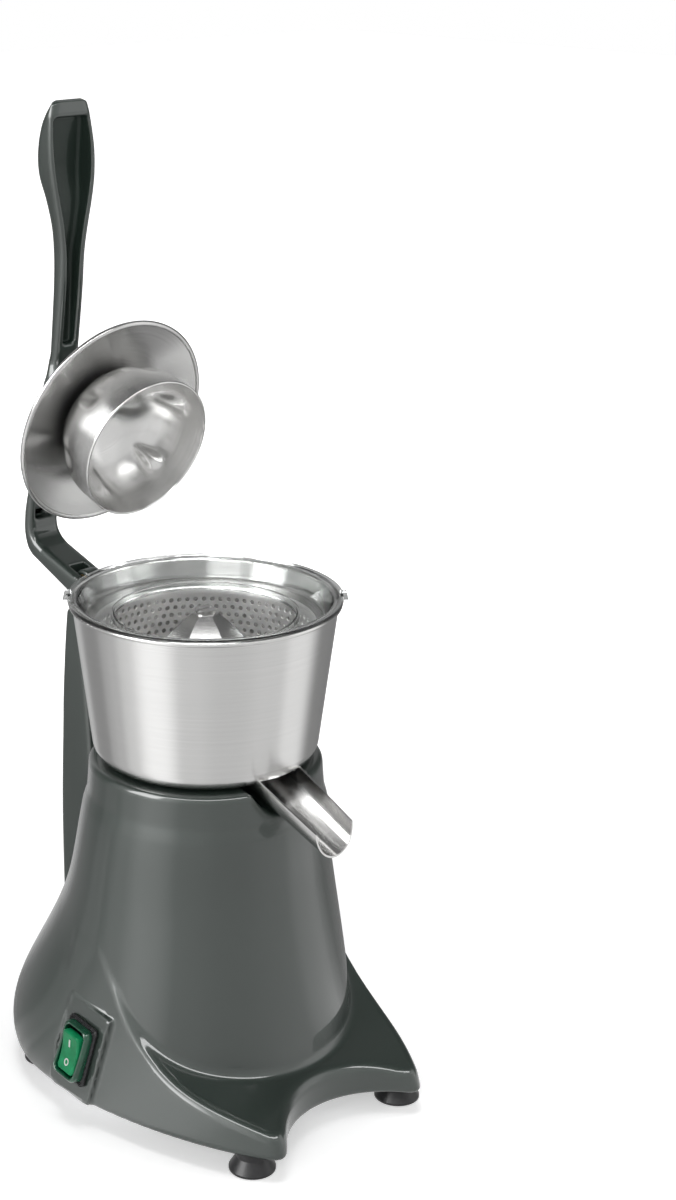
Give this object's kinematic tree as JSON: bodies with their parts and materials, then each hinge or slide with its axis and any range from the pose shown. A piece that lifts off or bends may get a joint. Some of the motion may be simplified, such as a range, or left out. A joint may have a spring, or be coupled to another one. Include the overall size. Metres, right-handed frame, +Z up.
{
  "type": "electric citrus juicer",
  "caption": "Lever-operated electric citrus juicer: painted motor base, steel bowl with spout, sieve, ribbed reamer cone, clear lid and hinged press cup.",
  "frame": {"origin": "on the drive axis, at the level that the feet stand on", "axes": "+Z up along the drive axis, -Y towards the spout, +X to the right seen from the front"},
  "size_m": [0.2081, 0.2859, 0.567],
  "materials": {
    "painted": "gloss",
    "steel": "brushed",
    "polished": "polished",
    "clear": "clear gloss",
    "black_rubber": "matte",
    "black_plastic": "satin",
    "green_boot": "translucent",
    "white_plastic": "satin",
    "zinc": "zinc plated",
    "bronze": "sintered",
    "copper": "enamelled",
    "laminations": "raw",
    "cast_alloy": "as cast"
  },
  "bodies": {
    "base": {"base_housing": "painted", "column": "painted", "collar": "painted", "feet": "black_rubber", "bowl_gasket": "black_rubber", "shaft_seal": "black_rubber", "switch_bezel": "black_plastic", "switch_body": "black_plastic", "cable_gland": "black_plastic", "gland_nut": "black_plastic", "capacitor": "black_plastic", "switch_boot": "green_boot", "terminal_block": "white_plastic", "base_plate": "zinc", "base_plate_screws": "zinc", "foot_screws": "zinc", "column_bolts": "zinc", "motor_bolts": "zinc", "lower_bearing": "zinc", "upper_bearing": "zinc", "hinge_bush": "bronze", "windings": "copper", "stator": "laminations", "lower_bracket": "cast_alloy", "upper_bracket": "cast_alloy"},
    "lever": {"hinge_pin": "zinc", "press_arm": "painted", "splash_flange": "steel", "press_cup": "steel", "press_bolt": "polished"},
    "drive": {"drive_shaft": "polished", "slinger": "polished", "shaft_ring": "white_plastic", "rotor": "laminations", "cooling_fan": "black_plastic"},
    "rocker": {"rocker": "black_plastic"},
    "bowl": {"bowl": "steel", "spout": "steel"},
    "sieve": {"sieve_basket": "steel"},
    "cone": {"reamer_cone": "steel"},
    "lid": {"lid": "clear"}
  },
  "joints": [
    {"name": "lever_hinge", "type": "hinge", "parent": "base", "child": "lever", "pos_m": [0, 0.1063, 0.2809], "axis": [-1, 0, 0], "range_deg": [-69.5, 22]},
    {"name": "drive_spin", "type": "hinge", "parent": "base", "child": "drive", "pos_m": [0, 0, 0.1], "axis": [0, 0, 1], "continuous": true},
    {"name": "bowl_lift", "type": "slide", "parent": "base", "child": "bowl", "axis": [0, 0, 1], "range_m": [0, 0.034]},
    {"name": "sieve_lift", "type": "slide", "parent": "bowl", "child": "sieve", "axis": [0, 0, 1], "range_m": [0, 0.034]},
    {"name": "cone_spin", "type": "hinge", "parent": "sieve", "child": "cone", "pos_m": [0, 0, 0.25], "axis": [0, 0, 1], "continuous": true},
    {"name": "lid_lift", "type": "slide", "parent": "sieve", "child": "lid", "axis": [0, 0, 1], "range_m": [0, 0.034]},
    {"name": "rocker_tilt", "type": "hinge", "parent": "base", "child": "rocker", "pos_m": [-0.0956, 0.0029, 0.0414], "axis": [-0.0264, -0.9936, -0.1101], "range_deg": [-12, 0]}
  ],
  "couplings": [
    {"joint": "cone_spin", "follows": "drive_spin", "ratio": 1}
  ]
}
